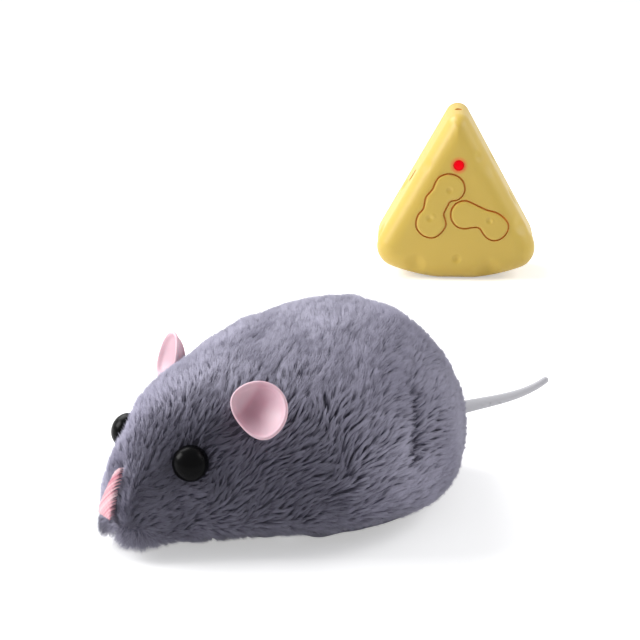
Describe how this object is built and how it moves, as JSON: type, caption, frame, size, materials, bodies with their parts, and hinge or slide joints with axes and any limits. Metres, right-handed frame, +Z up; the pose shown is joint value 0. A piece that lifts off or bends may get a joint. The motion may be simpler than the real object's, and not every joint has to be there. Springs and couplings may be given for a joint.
{
  "type": "plush remote-controlled mouse",
  "caption": "Plush toy mouse on a wheeled motor chassis, with stand-up ears, domed eyes, stitched nose and rubber tail, beside a cheese-wedge remote with pressed buttons.",
  "frame": {"origin": "on the floor under the middle of the set's bounding box", "axes": "+Z up; the mouse's nose points along -Y, its left side along +X; the remote stands behind it, turned 53 degrees about +Z"},
  "size_m": [0.225, 0.2678, 0.0645],
  "materials": {
    "plush": "short grey-lilac plush pile",
    "nose_thread": "pink satin stitching",
    "ear_vinyl": "soft smooth pink vinyl",
    "eye_gloss": "polished black plastic",
    "tail_vinyl": "pale grey soft rubber",
    "white_plastic": "moulded white plastic",
    "black_plastic": "moulded black plastic",
    "gear_plastic": "natural gear plastic",
    "tyre_rubber": "black rubber tyre",
    "steel": "bright steel",
    "brass": "machined brass",
    "board": "green circuit board with solder mask",
    "pack_wrap": "blue shrink wrap",
    "cell_wrap": "printed cell jacket, left plain",
    "dark_window": "dark infrared-clear plastic",
    "cheese_plastic": "cheese-yellow moulded plastic",
    "lamp_red": "lit red indicator"
  },
  "bodies": {
    "mouse": {"battery_cover": "black_plastic", "battery_cover_screw": "steel", "battery_pack": "pack_wrap", "body_shell": "white_plastic", "charging_socket": "steel", "chassis": "black_plastic", "chassis_screw_1": "steel", "chassis_screw_2": "steel", "chassis_screw_3": "steel", "chassis_screw_4": "steel", "circuit_board": "board", "idler_pin": "steel", "infrared_receiver": "dark_window", "left_ear": "ear_vinyl", "left_eye": "eye_gloss", "motor": "steel", "motor_strap": "steel", "nose_stitching": "nose_thread", "plush_cover": "plush", "right_ear": "ear_vinyl", "right_eye": "eye_gloss", "steering_bridge": "white_plastic", "switch_body": "steel", "tail": "tail_vinyl"},
    "rear_axle": {"axle_shaft": "steel", "axle_gear": "gear_plastic", "left_wheel": "white_plastic", "right_wheel": "white_plastic", "left_tyre": "tyre_rubber", "right_tyre": "tyre_rubber"},
    "compound_gear": {"compound_gear": "gear_plastic"},
    "rotor": {"motor_shaft": "steel", "motor_pinion": "brass"},
    "front_fork": {"front_fork": "black_plastic", "swivel_screw": "steel", "front_wheel_pin": "steel"},
    "front_wheel": {"front_wheel": "black_plastic"},
    "power_switch": {"switch_slider": "black_plastic"},
    "remote": {"go_key_switch": "steel", "indicator_lamp": "lamp_red", "infrared_emitter": "dark_window", "remote_back_shell": "cheese_plastic", "remote_battery_door": "cheese_plastic", "remote_cell_inner": "cell_wrap", "remote_cell_outer": "cell_wrap", "remote_circuit_board": "board", "remote_contact_left": "steel", "remote_contact_right": "steel", "remote_door_screw": "steel", "remote_front_shell": "cheese_plastic", "remote_screw_1": "steel", "remote_screw_2": "steel", "remote_screw_3": "steel", "remote_switch_body": "steel", "turn_key_switch": "steel"},
    "go_button": {"go_button": "cheese_plastic", "go_key_plunger": "black_plastic"},
    "turn_button": {"turn_button": "cheese_plastic", "turn_key_plunger": "black_plastic"},
    "remote_switch": {"remote_switch_slider": "black_plastic"}
  },
  "joints": [
    {"name": "rear_axle_turn", "type": "hinge", "parent": "mouse", "child": "rear_axle", "pos_m": [0.07279, -0.06164, 0.012], "axis": [1, 0, 0], "continuous": true},
    {"name": "idler_turn", "type": "hinge", "parent": "mouse", "child": "compound_gear", "pos_m": [0.07279, -0.05386, 0.01745], "axis": [1, 0, 0], "continuous": true},
    {"name": "rotor_turn", "type": "hinge", "parent": "mouse", "child": "rotor", "pos_m": [0.07279, -0.04435, 0.01301], "axis": [1, 0, 0], "continuous": true},
    {"name": "front_swivel", "type": "hinge", "parent": "mouse", "child": "front_fork", "pos_m": [0.07279, -0.11114, 0], "axis": [0, 0, 1], "range_deg": [0, 40]},
    {"name": "front_wheel_roll", "type": "hinge", "parent": "front_fork", "child": "front_wheel", "pos_m": [0.07279, -0.10814, 0.005], "axis": [1, 0, 0], "continuous": true},
    {"name": "switch_slide", "type": "slide", "parent": "mouse", "child": "power_switch", "axis": [1, 0, 0], "range_m": [0, 0.002]},
    {"name": "remote_lift", "type": "slide", "parent": "mouse", "child": "remote", "axis": [0, 0, 1], "range_m": [0, 0.06]},
    {"name": "go_button_press", "type": "slide", "parent": "remote", "child": "go_button", "axis": [-0.7986, 0.6018, 0], "range_m": [0, 0.0006], "stiffness_N_per_m": 400},
    {"name": "turn_button_press", "type": "slide", "parent": "remote", "child": "turn_button", "axis": [-0.7986, 0.6018, 0], "range_m": [0, 0.0006], "stiffness_N_per_m": 400},
    {"name": "remote_switch_slide", "type": "slide", "parent": "remote", "child": "remote_switch", "axis": [0.2918, 0.3872, 0.8746], "range_m": [0, 0.002]}
  ],
  "couplings": [
    {"joint": "idler_turn", "follows": "rear_axle_turn", "ratio": -2.1667},
    {"joint": "rotor_turn", "follows": "rear_axle_turn", "ratio": 5.4167}
  ]
}
